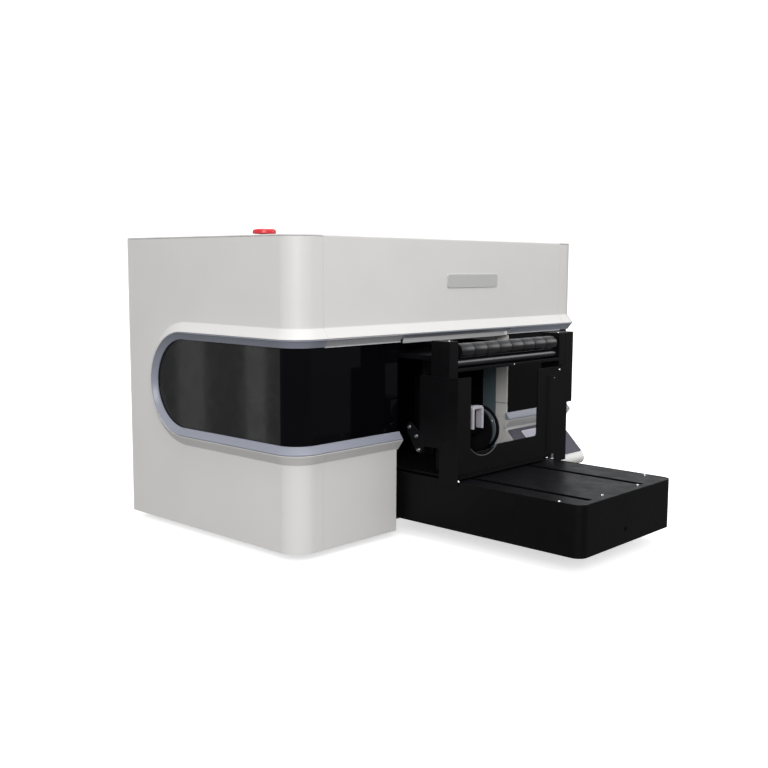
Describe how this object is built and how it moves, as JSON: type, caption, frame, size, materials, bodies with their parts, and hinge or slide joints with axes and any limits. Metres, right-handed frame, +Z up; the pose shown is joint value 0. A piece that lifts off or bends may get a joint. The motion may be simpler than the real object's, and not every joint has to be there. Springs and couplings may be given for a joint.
{
  "type": "flatbed uv printer",
  "caption": "Bench-top UV printer: white casing with smoked wrap-round windows, sliding black table frame with film rollers on a long base, angled console.",
  "frame": {"origin": "on the floor under the middle of the machine's plan box", "axes": "+Z up, -Y towards the operator's side where the base stands out, +X to the operator's right"},
  "size_m": [0.886, 0.8988, 0.5808],
  "materials": {
    "white_shell": "satin moulded",
    "slate_trim": "satin",
    "smoked_window": "gloss smoked acrylic",
    "black_sheet": "satin powder coat",
    "black_plate": "black anodised",
    "blue_grey_sheet": "satin",
    "console_face": "fine texture",
    "display": "gloss",
    "steel": "ground",
    "aluminium": "satin anodised",
    "black_rubber": "matte",
    "black_plastic": "satin",
    "stop_red": "gloss"
  },
  "bodies": {
    "chassis": {"base_tray": "black_sheet", "base_top_plate": "black_sheet", "floor_pan": "steel", "foot_front_left": "black_rubber", "foot_front_right": "black_rubber", "foot_rear_left": "black_rubber", "foot_rear_right": "black_rubber", "left_side_shell": "white_shell", "right_side_shell": "white_shell", "lower_left_panel": "white_shell", "console_shell": "white_shell", "rear_panel": "white_shell", "top_cover": "white_shell", "left_trim": "slate_trim", "right_trim": "slate_trim", "left_window": "smoked_window", "right_window": "smoked_window", "right_inner_wall": "blue_grey_sheet", "console_panel": "console_face", "console_display": "display", "x_portal": "aluminium", "x_rail": "steel", "x_belt": "black_rubber", "x_motor": "black_plastic", "y_rail_left": "steel", "y_rail_right": "steel", "y_motor": "black_plastic", "ink_rack": "black_sheet", "capping_base": "black_plastic", "control_box": "steel", "estop_collar": "black_plastic", "power_inlet": "black_plastic"},
    "table": {"lower_frame": "black_sheet", "saddle": "black_sheet", "rail_block_left": "steel", "rail_block_right": "steel", "reel_stand": "black_sheet"},
    "lift": {"left_post": "black_plate", "right_post": "black_plate", "cross_plate": "black_sheet", "platen": "black_plate", "lift_rod": "steel"},
    "drive_roller_body": {"drive_roller": "black_plate"},
    "pinch_roller_body": {"pinch_roller": "black_rubber"},
    "reel": {"take_up_reel": "black_plastic"},
    "knob": {"tension_knob": "aluminium"},
    "feed_screw": {"y_screw": "steel"},
    "drive_pulley": {"x_drive_pulley": "aluminium"},
    "idler_pulley": {"x_idler_pulley": "aluminium"},
    "carriage": {"carriage_frame": "aluminium", "print_heads": "steel", "uv_lamp": "aluminium", "carriage_cover": "black_plastic"},
    "cover": {"front_cover": "white_shell", "cover_trim": "slate_trim"},
    "stop_stem": {"estop_stem": "black_plastic"},
    "stop_head": {"estop_head": "stop_red"},
    "cap": {"capping_pad": "black_rubber"},
    "fan": {"rear_fan": "black_plastic"},
    "rocker": {"power_switch": "black_plastic"}
  },
  "joints": [
    {"name": "table_slide", "type": "slide", "parent": "chassis", "child": "table", "axis": [0, -1, 0], "range_m": [0, 0.23]},
    {"name": "table_lift", "type": "slide", "parent": "table", "child": "lift", "axis": [0, 0, 1], "range_m": [-0.045, 0]},
    {"name": "drive_roller_spin", "type": "hinge", "parent": "lift", "child": "drive_roller_body", "pos_m": [0.0346, -0.151, 0.3366], "axis": [1, 0, 0], "continuous": true},
    {"name": "pinch_roller_spin", "type": "hinge", "parent": "lift", "child": "pinch_roller_body", "pos_m": [0.0346, -0.151, 0.3591], "axis": [1, 0, 0], "continuous": true},
    {"name": "reel_spin", "type": "hinge", "parent": "table", "child": "reel", "pos_m": [-0.07, -0.137, 0.205], "axis": [1, 0, 0], "continuous": true},
    {"name": "knob_turn", "type": "hinge", "parent": "lift", "child": "knob", "pos_m": [0.24, -0.142, 0.224], "axis": [0, 0, 1], "continuous": true},
    {"name": "y_screw_spin", "type": "hinge", "parent": "chassis", "child": "feed_screw", "pos_m": [-0.0185, 0, 0.075], "axis": [0, -1, 0], "continuous": true},
    {"name": "carriage_slide", "type": "slide", "parent": "chassis", "child": "carriage", "axis": [1, 0, 0], "range_m": [-0.5, 0]},
    {"name": "x_drive_pulley_spin", "type": "hinge", "parent": "chassis", "child": "drive_pulley", "pos_m": [0.375, 0.193, 0.512], "axis": [0, 1, 0], "continuous": true},
    {"name": "x_idler_pulley_spin", "type": "hinge", "parent": "chassis", "child": "idler_pulley", "pos_m": [-0.375, 0.193, 0.512], "axis": [0, 1, 0], "continuous": true},
    {"name": "front_cover_hinge", "type": "hinge", "parent": "chassis", "child": "cover", "pos_m": [0, -0.022, 0.568], "axis": [-1, 0, 0], "range_deg": [0, 80]},
    {"name": "estop_press", "type": "slide", "parent": "chassis", "child": "stop_stem", "axis": [0, 0, -1], "range_m": [0, 0.003], "stiffness_N_per_m": 800},
    {"name": "estop_twist", "type": "hinge", "parent": "stop_stem", "child": "stop_head", "pos_m": [-0.3655, 0.1024, 0.573], "axis": [0, 0, 1], "range_deg": [0, 30], "stiffness_Nm_per_rad": 0.02},
    {"name": "cap_lift", "type": "slide", "parent": "chassis", "child": "cap", "axis": [0, 0, 1], "range_m": [0, 0.0095]},
    {"name": "rear_fan_spin", "type": "hinge", "parent": "chassis", "child": "fan", "pos_m": [0.3, 0.432, 0.44], "axis": [0, 1, 0], "continuous": true},
    {"name": "power_switch_rock", "type": "hinge", "parent": "chassis", "child": "rocker", "pos_m": [0.3535, 0.4448, 0.07], "axis": [1, 0, 0], "range_deg": [-7, 7]}
  ],
  "couplings": [
    {"joint": "pinch_roller_spin", "follows": "drive_roller_spin", "ratio": -0.56338},
    {"joint": "y_screw_spin", "follows": "table_slide", "rad_per_m": 157.08},
    {"joint": "x_drive_pulley_spin", "follows": "carriage_slide", "rad_per_m": -76.336},
    {"joint": "x_idler_pulley_spin", "follows": "carriage_slide", "rad_per_m": -76.336}
  ]
}
